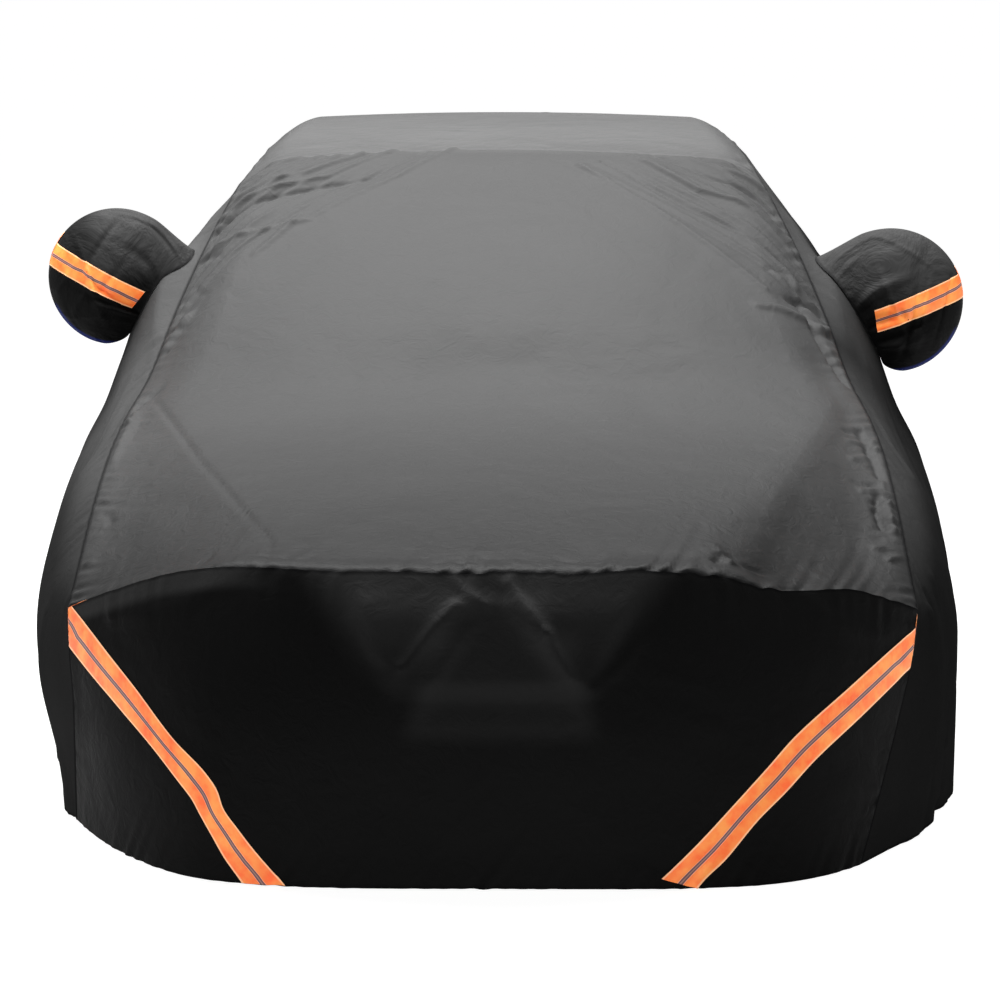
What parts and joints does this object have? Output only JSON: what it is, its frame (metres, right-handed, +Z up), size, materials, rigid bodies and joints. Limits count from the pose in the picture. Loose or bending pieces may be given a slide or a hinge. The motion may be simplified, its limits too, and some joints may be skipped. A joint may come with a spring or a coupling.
{
  "type": "car cover",
  "caption": "Fitted cover for a saloon car in coated black cloth, with bagged mirror pockets, a tucked elastic hem and slanting reflective tapes.",
  "frame": {"origin": "inner side of the cloth at the top of the roof, on the centre line, where the roof of the covered car carries it", "axes": "+Z up, -Y towards the front of the car, +X to the right of the front view"},
  "size_m": [1.9649, 4.6078, 1.2246],
  "materials": {
    "black_cloth_top": "coated taffeta, slight sheen",
    "black_cloth_front": "coated taffeta, slight sheen",
    "black_cloth_side_left": "coated taffeta, slight sheen",
    "black_cloth_side_right": "coated taffeta, slight sheen",
    "black_cloth_pocket_left": "coated taffeta, slight sheen",
    "black_cloth_pocket_right": "coated taffeta, slight sheen",
    "reflective_tape_left": "woven reflective tape",
    "reflective_tape_right": "woven reflective tape",
    "pocket_tape_left": "woven reflective tape",
    "pocket_tape_right": "woven reflective tape"
  },
  "bodies": {
    "root": {"top_panel": "black_cloth_top", "front_panel": "black_cloth_front", "side_panel_left": "black_cloth_side_left", "side_panel_right": "black_cloth_side_right", "mirror_pocket_left": "black_cloth_pocket_left", "mirror_pocket_right": "black_cloth_pocket_right", "front_strip_left": "reflective_tape_left", "front_strip_right": "reflective_tape_right", "pocket_strip_left": "pocket_tape_left", "pocket_strip_right": "pocket_tape_right"}
  },
  "joints": []
}
